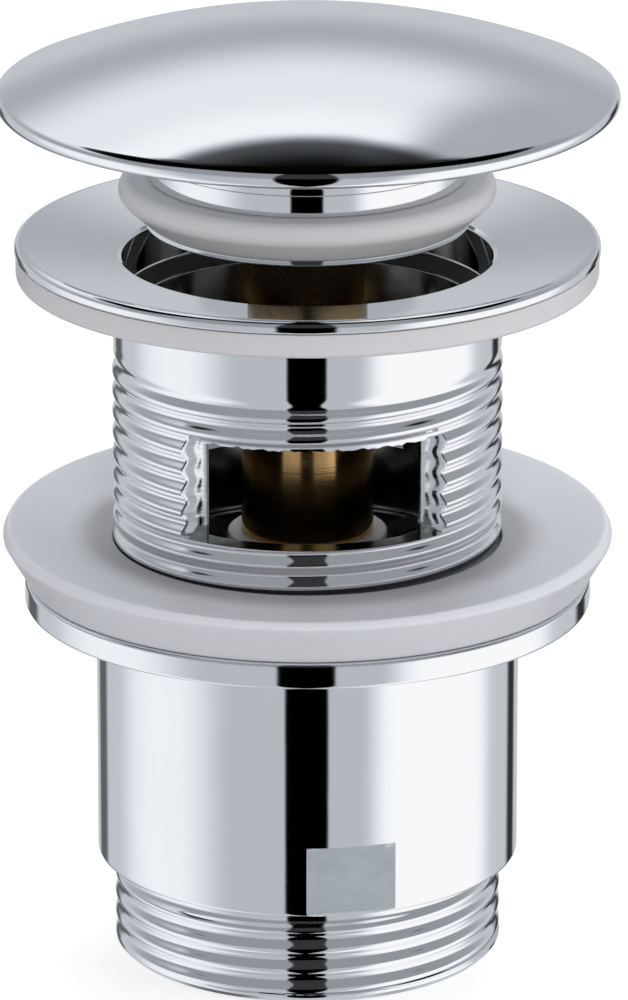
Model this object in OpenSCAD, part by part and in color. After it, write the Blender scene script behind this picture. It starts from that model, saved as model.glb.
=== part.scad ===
// Pop-up basin waste with a click mechanism: a dished flange on a slotted, threaded tube, a flanged tail
// that screws onto the tube to clamp the basin, and a domed plug on a sprung brass plunger.
// Millimetres, +Z up, origin at the middle of the tail's foot.
// Pipe threads are drawn at their major diameter.

/* [Pipe thread] */
// Major diameter of the pipe thread on the tube and on the tail
thread_d = 41.91; // [40.5:0.01:42.8]
// Pitch of the pipe thread
thread_pitch = 2.309; // [1.8:0.001:2.6]
// Radial play of the tube in the tail and in the gaskets' metal seats
thread_play = 0.05; // [0.03:0.01:0.1]

/* [Tail] */
// Outside diameter of the tail's cup
tail_d = 45.6; // [44.6:0.1:50]
// Height of the whole tail
tail_h = 41.9; // [39:0.1:60]
// Length of the male thread under the cup
tail_thread_l = 10.6; // [8:0.1:13]
// Chamfer at the foot of that thread
foot_chamfer = 0.7; // [0.4:0.1:1.2]
// Thickness of the step between the cup and the outlet
tail_floor_t = 3.4; // [2:0.1:5]
// Bore of the outlet
outlet_d = 35.6; // [30:0.1:37]
// Diameter of the flange that carries the basin gasket
tail_flange_d = 61; // [56:0.1:66]
// Thickness of that flange
tail_flange_t = 2.9; // [1.4:0.1:4]
// Width of each spanner flat
flat_w = 9.7; // [6:0.1:14]
// Height of each spanner flat above the shoulder
flat_h = 7.8; // [4:0.1:14]
// Turn of the spanner flats about the axis
flat_turn = 12; // [0:1:45]
// Thickness of the sealing ring on the cup's floor
tail_seal_t = 2; // [1:0.1:3]

/* [Tube and flange] */
// Length of the tube, from its lower end to the underside of the flange
tube_l = 40; // [38:0.1:60]
// Length of the tube that is screwed into the tail
tube_grip = 5.9; // [3:0.1:9]
// Bore of the tube
tube_bore_d = 36.4; // [34:0.1:37.4]
// Diameter of the plain neck under the flange
neck_d = 41.6; // [40.8:0.1:41.7]
// Length of the plain neck
neck_l = 10; // [6:0.1:12]
// Diameter of the flange
flange_d = 62.6; // [58:0.1:70]
// Height of the flange's rim
flange_rim_h = 1.5; // [1:0.1:2.4]
// Depth of the flange's dished top
flange_dish = 1.8; // [0.8:0.1:3]
// Thickness of the flange beside the mouth
flange_root_t = 1.8; // [1.4:0.1:3]
// Diameter of the mouth
mouth_d = 39.6; // [38.6:0.1:40.4]
// Depth of the plain recess inside the mouth
mouth_depth = 4.5; // [2:0.1:7]
// Height of each overflow slot
slot_h = 11.1; // [6:0.1:13]
// Angle that each overflow slot spans at the bore
slot_span = 75; // [40:1:90]
// Diameter of the disc cutter that sinks the overflow slots
slot_cutter_d = 76; // [60:1:100]
// Turn of the overflow slots about the axis
slot_turn = 2.5; // [-20:0.5:20]
// Distance from the flange's underside to the top of the slots
slot_drop = 13.9; // [11:0.1:15]

/* [Spider] */
// Number of arms
arm_count = 4; // [3:1:6]
// Width of each arm
arm_w = 4; // [2.5:0.1:6]
// Height of the arms and of the ring that they stand on
arm_h = 7.8; // [4:0.1:8.5]
// Width of the ring's ledge inside the tube
ledge_w = 1.2; // [0.6:0.1:2]
// Diameter of the boss
boss_d = 17.8; // [16.4:0.1:20]
// Height of the boss
boss_h = 9; // [7:0.1:11]
// Distance from the tube's lower end up to the boss
boss_lift = 1; // [0:0.1:3]

/* [Gaskets] */
// Outside diameter of the gasket under the flange
flange_gasket_d = 62.2; // [56:0.1:62.4]
// Thickness of that gasket beside the tube
flange_gasket_t = 0.6; // [0.4:0.05:3]
// Radial clearance of both gaskets on the tube
gasket_clear = 0.35; // [0.2:0.05:0.8]
// Diameter of the basin gasket's rim
gasket_rim_d = 65.6; // [62:0.1:70]
// Diameter of the basin gasket's base
gasket_base_d = 60.4; // [55:0.1:61]
// Height of the basin gasket's rim
gasket_rim_h = 5.8; // [4.4:0.1:8]
// Height of the basin gasket beside the tube
gasket_t = 3.5; // [2:0.1:4.2]

/* [Plug] */
// Diameter of the dome
dome_d = 66.4; // [58:0.1:74]
// Height of the dome above its rim
dome_h = 7.6; // [5:0.1:10]
// Radius of the rim's rounded edge
dome_edge_r = 1.1; // [0.9:0.1:1.6]
// Wall of the dome
dome_t = 1.4; // [1:0.1:1.8]
// Slope of the dome's underside
under_slope = 14; // [8:0.5:18]
// Diameter of the collar under the dome
collar_d = 34.8; // [34.2:0.1:38]
// Height of the collar's straight side
collar_h = 0.65; // [0.3:0.05:2]
// Diameter of the core's neck
core_neck_d = 34; // [33:0.1:34.6]
// Height of the core's neck
core_neck_h = 2.4; // [1:0.1:5]
// Diameter of the core's lip under the seal
lip_d = 34.6; // [33:0.1:35]
// Thickness of that lip
lip_t = 0.7; // [0.5:0.1:1.5]
// Height of the open plug's lip above the mouth
plug_lift = 3.5; // [2.5:0.1:6]
// Diameter of the groove that holds the seal
seal_groove_d = 30; // [28:0.1:31]
// Diameter of the seal at its widest
seal_d = 40.3; // [39.9:0.1:41]
// Diameter of the seal at its foot
seal_foot_d = 35.8; // [35.2:0.1:37]
// Height of the seal
seal_h = 4.5; // [4:0.1:6]
// Gap left between the closed seal and the mouth's edge
seat_gap = 0.3; // [0.2:0.05:0.5]

/* [Cartridge] */
// Outside diameter of the cartridge's sleeve
sleeve_d = 14.2; // [13.8:0.1:15]
// Height of the sleeve
sleeve_l = 19.6; // [18:0.1:23]
// Diameter of the plunger
plunger_d = 12.3; // [12.1:0.1:12.6]
// Radial play of the plunger in the sleeve
plunger_play = 0.05; // [0.02:0.01:0.08]
// Diameter of the sleeve's threaded stub
stub_d = 10; // [8:0.1:11]
// Diameter of the plunger's stud
stud_d = 8; // [5:0.1:9]
// Length of the plunger's stud
stud_l = 8; // [5:0.1:8.6]
// Width across flats of the lock nut
nut_w = 16; // [15:0.1:18]
// Thickness of the lock nut
nut_t = 5; // [3:0.1:7]
// Thickness of the nylon seat washer
seat_washer_t = 0.8; // [0.5:0.1:2]
// Thickness of the spring washer under the boss
lock_washer_t = 1; // [0.6:0.1:2]
// Diameter of the track ring's pins
pin_d = 1.6; // [1.2:0.1:1.8]
// Number of notches in each of the plunger's two cams
notch_count = 8; // [4:4:12]
// Depth of the cams' notches
notch_h = 1; // [0.6:0.1:1.4]
// Outside diameter of the return spring
spring_d = 6.2; // [5.6:0.1:6.3]
// Wire of the return spring
wire_d = 0.7; // [0.5:0.05:0.9]
// Turns of the return spring
spring_turns = 9; // [6:1:12]

/* [Hidden] */
$fn = 96;

CHROME = "#d5d8dd";
BRASS = "#b98d4f";
MILKY = "#e6e7ea";
STEEL = "#a9adb3";
ACETAL = "#eceae4";
RUBBER = "#2b2b2d";

// Small sizes that pieces share
edge = 0.5;              // broken edge on turned metal
fit_gap = 0.02;          // radial gap of a pressed or screwed joint
run_gap = 0.2;           // gap between pieces of the cartridge that move past each other
end_gap = 0.05;          // axial play of the track ring
thread_h = 0.6403 * thread_pitch;
thread_r = thread_d / 2;
over = 1;                // how far a cutter runs past the face it cuts
arc_steps = 8;

// Heights on the tail and the tube, from the foot up
tail_floor_z = tail_thread_l + tail_floor_t;
tail_flange_z = tail_h - tail_flange_t;
tube_end_z = tail_h - tube_grip;
seat_z = tube_end_z + tube_l;
mouth_z = seat_z + flange_root_t;
recess_z = mouth_z - mouth_depth;
flange_top_z = mouth_z + flange_dish;
flange_low_z = flange_top_z - flange_rim_h;
slot_z = seat_z - slot_drop - slot_h;
ledge_z = tube_end_z + arm_h;
arm_turn = 45;
boss_z = tube_end_z + boss_lift;
boss_top_z = boss_z + boss_h;

// Heights and radii on the plug, from its lip up
lip_z = mouth_z + plug_lift;
seal_z = lip_z + lip_t;
seal_top_z = seal_z + seal_h;
neck_top_z = seal_top_z + core_neck_h;
seal_wide_z = seal_z + 0.55 * seal_h;
seal_round = 0.3 * (seal_wide_z - seal_z);
flank_slope = (seal_d - seal_foot_d) / 2 / (seal_wide_z - seal_z);
press_travel = seal_z + (mouth_d / 2 - seat_gap - seal_foot_d / 2) / flank_slope - mouth_z;

// The dome's section: a large arc, a rounded rim and a straight underside that runs into a fillet
collar_r = collar_d / 2;
collar_fillet = 1;
fillet_z = neck_top_z + collar_h;
rim_r = dome_d / 2 - dome_edge_r;
function under_z(r) =
    fillet_z + collar_fillet / cos(under_slope) + (r - collar_r - collar_fillet) * tan(under_slope);
rim_z = under_z(rim_r) + dome_edge_r / cos(under_slope);
dome_r = (rim_r ^ 2 + dome_h ^ 2 - dome_edge_r ^ 2) / (2 * (dome_h - dome_edge_r));
dome_mid_z = rim_z + dome_h - dome_r;
dome_end_angle = atan2(rim_z - dome_mid_z, rim_r);
core_wall = 1.6;         // step at the spigot and wall round the seal's groove
core_web = 2;            // wall round the stud's bore and inside the spigot
spigot_r = core_neck_d / 2 - core_wall;
spigot_h = 2.4;
core_boss_drop = 0.2;
core_boss_d = 18;
core_floor_t = 3;

// Heights in the cartridge, from the spider's boss up
sleeve_z = boss_top_z + seat_washer_t;
sleeve_floor_t = 1.1;
sleeve_floor_z = sleeve_z + sleeve_floor_t;
sleeve_top_z = sleeve_z + sleeve_l;
plunger_r = plunger_d / 2;
sleeve_bore_r = plunger_r + plunger_play;
plunger_top_z = lip_z - core_boss_drop;
plunger_end_z = sleeve_floor_z + press_travel + 3 * run_gap;
cam_foot_h = 1.2;
notch_low_z = plunger_end_z + cam_foot_h;
pin_clear = 0.25;
pin_count = 4;
pin_seat = 0.5;           // length of each pin inside the ring
notch_share = 0.9;        // share of the cam that is notch and not land, at the waist
pin_z = notch_low_z + pin_d / 2 + pin_clear;
notch_high_z = pin_z + press_travel + pin_d / 2 + pin_clear;
ring_cover = 0.5;         // height of the track ring above and below its pins
track_ring_h = pin_d + 2 * ring_cover;
track_ring_z = pin_z - track_ring_h / 2;
snap_ring_z = track_ring_z + track_ring_h + end_gap;
snap_ring_t = 0.6;
snap_groove = 0.35;       // depth of the sleeve's groove for the snap ring
snap_ring_r = sleeve_bore_r + snap_groove;
shoulder_z = snap_ring_z + snap_ring_t + press_travel + run_gap;
spring_r = spring_d / 2;
plunger_bore_r = spring_r + run_gap;
waist_wall = 1;
waist_r = plunger_bore_r + waist_wall;
cam_proud = 0.85;
cam_r = waist_r + cam_proud;
track_ring_r = cam_r + run_gap;
roof_t = 5.5;
cap_overlap = 3;
wiper_t = 1.2;
cap_wall = 0.8;
cap_top_t = 1;
stub_end_l = 1.5;
stub_l = seat_washer_t + boss_h + lock_washer_t + nut_t + stub_end_l;

// Points of an arc about c, from one angle to another
function arc(c, r, from, to, steps = arc_steps) =
    [for (i = [0:steps]) let (a = from + (to - from) * i / steps) [c[0] + r * cos(a), c[1] + r * sin(a)]];

// Underside of the flange at radius r
function flange_under_z(r) =
    seat_z + (r - neck_d / 2) / (flange_d / 2 - neck_d / 2) * (flange_low_z - seat_z);

// A turned piece: the outline is given as [radius, height]
module turned(outline) {
    rotate_extrude() polygon(outline);
}

// A plain ring with its edges broken
module ring(inner, outer, z, h, chamfer = 0) {
    turned([
        [inner, z + chamfer], [inner + chamfer, z], [outer - chamfer, z], [outer, z + chamfer],
        [outer, z + h - chamfer], [outer - chamfer, z + h],
        [inner + chamfer, z + h], [inner, z + h - chamfer]
    ]);
}

// Flange and tube, turned in one piece, with the spider cast inside the lower end
module upper_body() {
    flange_r = flange_d / 2;
    bore_r = tube_bore_d / 2;
    round_r = 0.6 * flange_rim_h;
    color(CHROME) union() {
        difference() {
            turned(concat(
                [[bore_r - ledge_w, tube_end_z], [thread_r - thread_h, tube_end_z]],
                [[thread_r, tube_end_z + thread_h], [thread_r, seat_z - neck_l]],
                [[neck_d / 2, seat_z - neck_l + edge], [neck_d / 2, seat_z]],
                [[flange_r - edge / 2, flange_low_z], [flange_r, flange_low_z + edge / 2]],
                arc([flange_r - round_r, flange_top_z - round_r], round_r, 0, 90),
                [[mouth_d / 2 + edge, mouth_z + 0.1], [mouth_d / 2, mouth_z - edge / 2]],
                [[mouth_d / 2, recess_z], [bore_r, recess_z - (mouth_d / 2 - bore_r)]],
                [[bore_r, ledge_z], [bore_r - ledge_w, ledge_z]]
            ));
            overflow_slots();
        }
        spider();
    }
}

// Overflow slots, sunk from the front and back by a disc cutter, so that their ends slant through the wall
module overflow_slots() {
    half_w = tube_bore_d / 2 * sin(slot_span / 2);
    cutter_y = tube_bore_d / 2 * cos(slot_span / 2) + sqrt(pow(slot_cutter_d / 2, 2) - pow(half_w, 2));
    for (side = [0, 180])
        rotate(side + slot_turn)
            translate([0, -cutter_y, slot_z]) cylinder(d = slot_cutter_d, h = slot_h);
}

module spider() {
    ring_r = tube_bore_d / 2 - ledge_w;
    difference() {
        union() {
            translate([0, 0, boss_z]) cylinder(d = boss_d, h = boss_h);
            intersection() {
                for (i = [0:arm_count - 1])
                    rotate(arm_turn + 360 / arm_count * i)
                        translate([0, -arm_w / 2, boss_z])
                            cube([thread_r, arm_w, ledge_z - boss_z]);
                translate([0, 0, tube_end_z]) cylinder(r = ring_r + ledge_w / 2, h = arm_h);
            }
        }
        translate([0, 0, boss_z - over]) cylinder(r = stub_d / 2 + fit_gap, h = boss_h + 2 * over);
    }
}

// Wedge-shaped gasket in the hollow under the flange
module flange_gasket() {
    inner = thread_r + gasket_clear;
    outer = flange_gasket_d / 2;
    low = seat_z - flange_gasket_t;
    color(MILKY) turned([
        [inner, low], [outer - edge, low], [outer, low + edge],
        [outer, flange_under_z(outer)], [inner, flange_under_z(inner)]
    ]);
}

// Flanged cup that screws onto the tube, with a male thread and an outlet under it
module tail_body() {
    cup_r = thread_r + thread_play;
    out_r = outlet_d / 2;
    body_r = tail_d / 2;
    flange_r = tail_flange_d / 2;
    flat_depth = body_r - sqrt(body_r ^ 2 - (flat_w / 2) ^ 2);
    color(CHROME) difference() {
        turned([
            [out_r, edge], [out_r + edge, 0], [thread_r - foot_chamfer, 0], [thread_r, foot_chamfer],
            [thread_r, tail_thread_l - thread_pitch - thread_h / 2],
            [thread_r - thread_h, tail_thread_l - thread_pitch + thread_h / 2],
            [thread_r - thread_h, tail_thread_l], [body_r - edge, tail_thread_l],
            [body_r, tail_thread_l + edge], [body_r, tail_flange_z], [flange_r - edge, tail_flange_z],
            [flange_r, tail_flange_z + edge], [flange_r, tail_h - edge], [flange_r - edge, tail_h],
            [cup_r + edge, tail_h], [cup_r, tail_h - edge], [cup_r, tail_floor_z], [out_r, tail_floor_z]
        ]);
        for (side = [0, 180])
            rotate(side + flat_turn)
                translate([-flat_w, -body_r - over, tail_thread_l - over])
                    cube([2 * flat_w, over + flat_depth, flat_h + over]);
    }
}

// Flat ring on the cup's floor, which the tube's end meets when the tail is run right up
module tail_seal() {
    color(RUBBER) ring(outlet_d / 2 + edge, thread_r - gasket_clear, tail_floor_z, tail_seal_t, 0.2);
}

// Flared gasket between the tail's flange and the underside of the basin
module basin_gasket() {
    inner = thread_r + gasket_clear;
    base_r = gasket_base_d / 2;
    rim = gasket_rim_d / 2;
    lip = 0.6;
    knee = inner + 0.4 * (rim - inner);
    color(MILKY) turned(concat(
        [[inner, tail_h], [base_r - edge, tail_h], [base_r, tail_h + edge]],
        arc([rim - lip, tail_h + gasket_rim_h - lip], lip, -25, 120),
        [[knee + 0.3 * (rim - knee), tail_h + gasket_t + 0.12 * (gasket_rim_h - gasket_t)]],
        [[knee, tail_h + gasket_t], [inner, tail_h + gasket_t]]
    ));
}

// Hollow dome with a rolled edge and a collar underneath
module plug_dome() {
    inner_r = dome_r - dome_t;
    cavity_r = rim_r - 3 * dome_edge_r;
    cavity_end = acos(cavity_r / inner_r);
    lift = dome_t / cos(under_slope);
    color(CHROME) rotate_extrude() difference() {
        polygon(concat(
            [[0, neck_top_z], [collar_r, neck_top_z]],
            arc([collar_r + collar_fillet, fillet_z], collar_fillet, 180, 90 + under_slope),
            arc([rim_r, rim_z], dome_edge_r, under_slope - 90, dome_end_angle),
            arc([0, dome_mid_z], dome_r, dome_end_angle, 90, 24)
        ));
        polygon(concat(
            [[0, neck_top_z - over], [spigot_r + fit_gap, neck_top_z - over]],
            [[spigot_r + fit_gap, under_z(collar_r) + lift], [collar_r, under_z(collar_r) + lift]],
            [[cavity_r, min(under_z(cavity_r) + lift, dome_mid_z + inner_r * sin(cavity_end) - 0.1)]],
            arc([0, dome_mid_z], inner_r, cavity_end, 90, 24)
        ));
    }
}

// Turned core of the plug: spigot, neck, seal groove, lip and the boss that takes the plunger's stud
module plug_core() {
    groove_r = seal_groove_d / 2;
    lip_r = lip_d / 2;
    hollow_r = groove_r - core_wall;
    boss_r = core_boss_d / 2;
    color(CHROME) difference() {
        turned([
            [0, plunger_top_z], [boss_r, plunger_top_z], [boss_r, lip_z], [lip_r - 0.2, lip_z],
            [lip_r, lip_z + 0.2], [lip_r, seal_z], [groove_r, seal_z], [groove_r, seal_top_z],
            [core_neck_d / 2, seal_top_z], [core_neck_d / 2, neck_top_z],
            [spigot_r, neck_top_z], [spigot_r, neck_top_z + spigot_h], [0, neck_top_z + spigot_h]
        ]);
        ring(boss_r, hollow_r, lip_z - over, over + seal_h - core_floor_t / 2);
        ring(boss_r - core_web, spigot_r - core_web, neck_top_z, spigot_h + over);
        translate([0, 0, plunger_top_z - over])
            cylinder(r = stud_d / 2 + fit_gap, h = stud_l + 2 * over);
    }
}

// Bullet-shaped seal that closes the mouth
module plug_seal() {
    groove_r = seal_groove_d / 2 + fit_gap;
    wide_r = seal_d / 2;
    crown_r = core_neck_d / 2 + 0.2;
    color(MILKY) turned(concat(
        [[groove_r, seal_z], [seal_foot_d / 2, seal_z]],
        arc([wide_r - seal_round, seal_wide_z], seal_round, -atan(1 / flank_slope) / 2, 60),
        [[crown_r + 0.35 * (wide_r - crown_r), seal_top_z - 0.12 * seal_h], [crown_r, seal_top_z]],
        [[groove_r, seal_top_z]]
    ));
}

// Brass plunger: stud, guide, waist and the two notched cams that the track ring's pins run between
module plunger() {
    color(BRASS) difference() {
        union() {
            turned([
                [0, plunger_end_z], [waist_r, plunger_end_z], [waist_r, shoulder_z],
                [plunger_r - edge, shoulder_z], [plunger_r, shoulder_z + edge],
                [plunger_r, plunger_top_z - edge], [plunger_r - edge, plunger_top_z],
                [stud_d / 2, plunger_top_z], [stud_d / 2, plunger_top_z + stud_l - edge],
                [stud_d / 2 - edge, plunger_top_z + stud_l], [0, plunger_top_z + stud_l]
            ]);
            notched_cam(plunger_end_z, notch_low_z + notch_h, notch_low_z, 1);
            rotate(180 / notch_count)
                notched_cam(notch_high_z - notch_h, shoulder_z + edge / 2, notch_high_z, -1);
        }
        translate([0, 0, plunger_end_z - over])
            cylinder(r = plunger_bore_r, h = plunger_top_z - roof_t - plunger_end_z + over);
    }
}

// A cam between two heights, with V notches whose roots are at root_z, open upwards (1) or downwards (-1)
module notched_cam(low, high, root_z, way) {
    half = notch_share * waist_r * sin(180 / notch_count);
    difference() {
        ring((plunger_bore_r + waist_r) / 2, cam_r, low, high - low);
        for (i = [0:notch_count - 1])
            rotate(360 / notch_count * i)
                translate([0, 0, root_z])
                    rotate([90, 0, 90])
                        linear_extrude(2 * cam_r)
                            polygon([
                                [0, 0], [half, way * notch_h], [half, way * (notch_h + over)],
                                [-half, way * (notch_h + over)], [-half, way * notch_h]
                            ]);
    }
}

// Compression spring inside the plunger, with closed ends
function spring_turn_z(t) =
    let (free = plunger_top_z - roof_t - sleeve_floor_z - 3 * wire_d, s = (t - 1) / (spring_turns - 2))
    sleeve_floor_z + wire_d / 2 + (t < 1 ? wire_d * t
        : t > spring_turns - 1 ? wire_d + free + wire_d * (t - spring_turns + 1)
        : wire_d + free * s);

module return_spring() {
    sides = 6;
    per_turn = 16;
    count = spring_turns * per_turn;
    coil_r = spring_r - wire_d / 2;
    rings = [for (i = [0:count]) let (t = i / per_turn)
        [for (k = [0:sides - 1]) let (r = coil_r + wire_d / 2 * cos(360 * k / sides))
            [r * cos(360 * t), r * sin(360 * t), spring_turn_z(t) + wire_d / 2 * sin(360 * k / sides)]]];
    color(STEEL) polyhedron(
        [for (loop = rings) each loop],
        concat(
            [[for (k = [0:sides - 1]) k]],
            [for (i = [0:count - 1]) for (k = [0:sides - 1])
                let (here = i * sides, above = here + sides, next = (k + 1) % sides)
                [here + k, above + k, above + next, here + next]],
            [[for (k = [sides - 1:-1:0]) count * sides + k]]
        )
    );
}

// Brass sleeve with a threaded stub that goes through the spider's boss
module cartridge_sleeve() {
    outer = sleeve_d / 2;
    stub_r = stub_d / 2;
    stub_z = sleeve_z - stub_l;
    groove_z = snap_ring_z - end_gap;
    groove_top_z = snap_ring_z + snap_ring_t + end_gap;
    color(BRASS) turned([
        [0, stub_z], [stub_r - edge, stub_z], [stub_r, stub_z + edge], [stub_r, sleeve_z],
        [outer, sleeve_z], [outer, sleeve_top_z], [sleeve_bore_r, sleeve_top_z],
        [sleeve_bore_r, groove_top_z], [snap_ring_r + end_gap, groove_top_z],
        [snap_ring_r + end_gap, groove_z], [sleeve_bore_r, groove_z],
        [sleeve_bore_r, sleeve_floor_z], [0, sleeve_floor_z]
    ]);
}

// Gland cap over the sleeve's top, which guides the plunger and holds the wiper
module guide_cap() {
    low = sleeve_top_z - cap_overlap;
    inner = sleeve_d / 2 + fit_gap;
    outer = inner + cap_wall;
    roof = sleeve_top_z + wiper_t;
    top = roof + cap_top_t;
    color(BRASS) turned([
        [inner, low], [outer, low], [outer, top - edge], [outer - edge, top],
        [sleeve_bore_r, top], [sleeve_bore_r, roof], [inner, roof]
    ]);
}

module wiper_ring() {
    inner = plunger_r + plunger_play + fit_gap;
    color(RUBBER) ring(inner, sleeve_d / 2, sleeve_top_z, wiper_t, 0.25);
}

// Acetal tube that stands on the sleeve's floor and carries the track ring
module ring_spacer() {
    color(ACETAL) ring(track_ring_r, sleeve_bore_r - fit_gap, sleeve_floor_z,
        track_ring_z - end_gap - sleeve_floor_z);
}

module track_pin_places() {
    for (i = [0:pin_count - 1])
        rotate(360 / pin_count * i) translate([0, 0, pin_z]) rotate([0, 90, 0]) children();
}

// Ring that turns in the sleeve a step at a time as the plunger's cams drive its pins
module track_ring() {
    color(ACETAL) difference() {
        ring(track_ring_r, sleeve_bore_r - plunger_play, track_ring_z, track_ring_h, 0.1);
        track_pin_places() cylinder(r = pin_d / 2 + fit_gap, h = plunger_d);
    }
}

module track_pins() {
    inner = waist_r + run_gap;
    color(STEEL) track_pin_places()
        translate([0, 0, inner]) cylinder(d = pin_d, h = track_ring_r + pin_seat - inner);
}

module snap_ring() {
    opening = 40;
    color(STEEL) rotate(opening / 2) rotate_extrude(angle = 360 - opening)
        translate([track_ring_r, snap_ring_z]) square([snap_ring_r - track_ring_r, snap_ring_t]);
}

module seat_washer() {
    color(ACETAL) ring(stub_d / 2 + fit_gap, boss_d / 2 - 0.3, boss_top_z, seat_washer_t, 0.15);
}

module lock_washer() {
    opening = 12;
    z = boss_z - lock_washer_t;
    color(STEEL) rotate_extrude(angle = 360 - opening)
        translate([stub_d / 2 + fit_gap, z]) square([nut_w / 2 - stub_d / 2 - edge, lock_washer_t]);
}

module lock_nut() {
    z = boss_z - lock_washer_t - nut_t;
    corner_d = nut_w / cos(30);
    color(BRASS) difference() {
        intersection() {
            translate([0, 0, z]) cylinder(d = corner_d, h = nut_t, $fn = 6);
            turned([
                [0, z], [nut_w / 2, z], [corner_d / 2, z + edge], [corner_d / 2, z + nut_t - edge],
                [nut_w / 2, z + nut_t], [0, z + nut_t]
            ]);
        }
        translate([0, 0, z - over]) cylinder(r = stub_d / 2 + fit_gap, h = nut_t + 2 * over);
    }
}

upper_body();
flange_gasket();
tail_body();
tail_seal();
basin_gasket();
plug_dome();
plug_core();
plug_seal();
plunger();
return_spring();
cartridge_sleeve();
guide_cap();
wiper_ring();
ring_spacer();
track_ring();
track_pins();
snap_ring();
seat_washer();
lock_washer();
lock_nut();
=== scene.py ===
# %% [markdown]
# # A pop-up basin waste, dressed for its portrait
# The part is the fitting at the bottom of a wash basin: a chromed dome that clicks up and down on a brass
# plunger, a dished flange on a threaded tube, and a flanged tail that screws up from below and squeezes the
# basin between two milky gaskets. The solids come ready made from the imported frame. What is left to do here
# is the threads, the mirror finish and the light, and the lesson goes through them one cell at a time.

# %% Load the frame and keep its box
import math

import bmesh
import bpy
import numpy as np
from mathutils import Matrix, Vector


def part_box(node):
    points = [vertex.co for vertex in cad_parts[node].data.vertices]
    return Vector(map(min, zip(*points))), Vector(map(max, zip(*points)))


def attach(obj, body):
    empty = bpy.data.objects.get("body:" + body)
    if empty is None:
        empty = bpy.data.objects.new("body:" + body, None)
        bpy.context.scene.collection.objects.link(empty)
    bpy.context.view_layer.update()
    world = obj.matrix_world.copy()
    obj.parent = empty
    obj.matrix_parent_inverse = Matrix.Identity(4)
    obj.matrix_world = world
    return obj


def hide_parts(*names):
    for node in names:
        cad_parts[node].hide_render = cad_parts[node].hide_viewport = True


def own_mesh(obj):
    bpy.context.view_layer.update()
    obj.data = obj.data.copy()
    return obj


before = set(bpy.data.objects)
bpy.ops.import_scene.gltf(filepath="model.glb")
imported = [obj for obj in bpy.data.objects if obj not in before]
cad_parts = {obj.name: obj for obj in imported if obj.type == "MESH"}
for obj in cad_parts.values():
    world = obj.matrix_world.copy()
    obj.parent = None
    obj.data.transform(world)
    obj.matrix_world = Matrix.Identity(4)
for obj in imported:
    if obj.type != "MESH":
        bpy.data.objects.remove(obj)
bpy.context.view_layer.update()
scene = bpy.context.scene
MM = 0.001


def reach(node):
    """Outer radius, lowest and highest point of a node, in millimetres."""
    low, high = (np.array(corner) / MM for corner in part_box(node))
    return (high[0] - low[0]) / 2, low[2], high[2]


print("nodes:", len(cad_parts), "top of the dome at", round(reach("plug_dome")[2], 2), "mm")

# %% [markdown]
# ## Where the camera stands
# Small products are photographed from far away with a long lens, so that the rings look like true ellipses.
# The rings on this part open by a little under a third of their width, which puts the camera about 18
# degrees above the table. A long lens at 0.9 m keeps the slight narrowing towards the foot.

# %% Camera
PIXELS_HIGH = 1000
AIM_Z = 51.33
STAND_OFF = 895.0
LOOK_DOWN = math.radians(18.07)
PIXELS_PER_MM = 9.2917
AIM_PIXEL = (307.5, 488.1)
FRAME_CENTRE = (314.0, 500.0)
lens_data = bpy.data.cameras.new("portrait_view")
lens_data.sensor_width = 36.0
lens_data.lens = lens_data.sensor_width * PIXELS_PER_MM * STAND_OFF / PIXELS_HIGH
lens_data.shift_x = (FRAME_CENTRE[0] - AIM_PIXEL[0]) / PIXELS_HIGH
lens_data.shift_y = (AIM_PIXEL[1] - FRAME_CENTRE[1]) / PIXELS_HIGH
lens_data.clip_end = 20.0
viewer = bpy.data.objects.new("portrait_view", lens_data)
scene.collection.objects.link(viewer)
viewer.location = (0.0, -STAND_OFF * math.cos(LOOK_DOWN) * MM, (AIM_Z + STAND_OFF * math.sin(LOOK_DOWN)) * MM)
viewer.rotation_euler = (math.pi / 2 - LOOK_DOWN, 0.0, 0.0)
scene.camera = viewer
scene.view_settings.view_transform = "Standard"
print("camera at", [round(c, 3) for c in viewer.location], "lens", round(lens_data.lens, 1), "mm")

# %% [markdown]
# ## Shader sums in plain Python
# A material is a sum of small maps: a little noise here, a mask there. Wiring them by hand hides the idea,
# so one class wraps a socket and lets `1 - mask` or `0.2 * grain` add the Math nodes. Every other node
# comes from its `node` method, which sets the node's options first and then its sockets.


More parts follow.
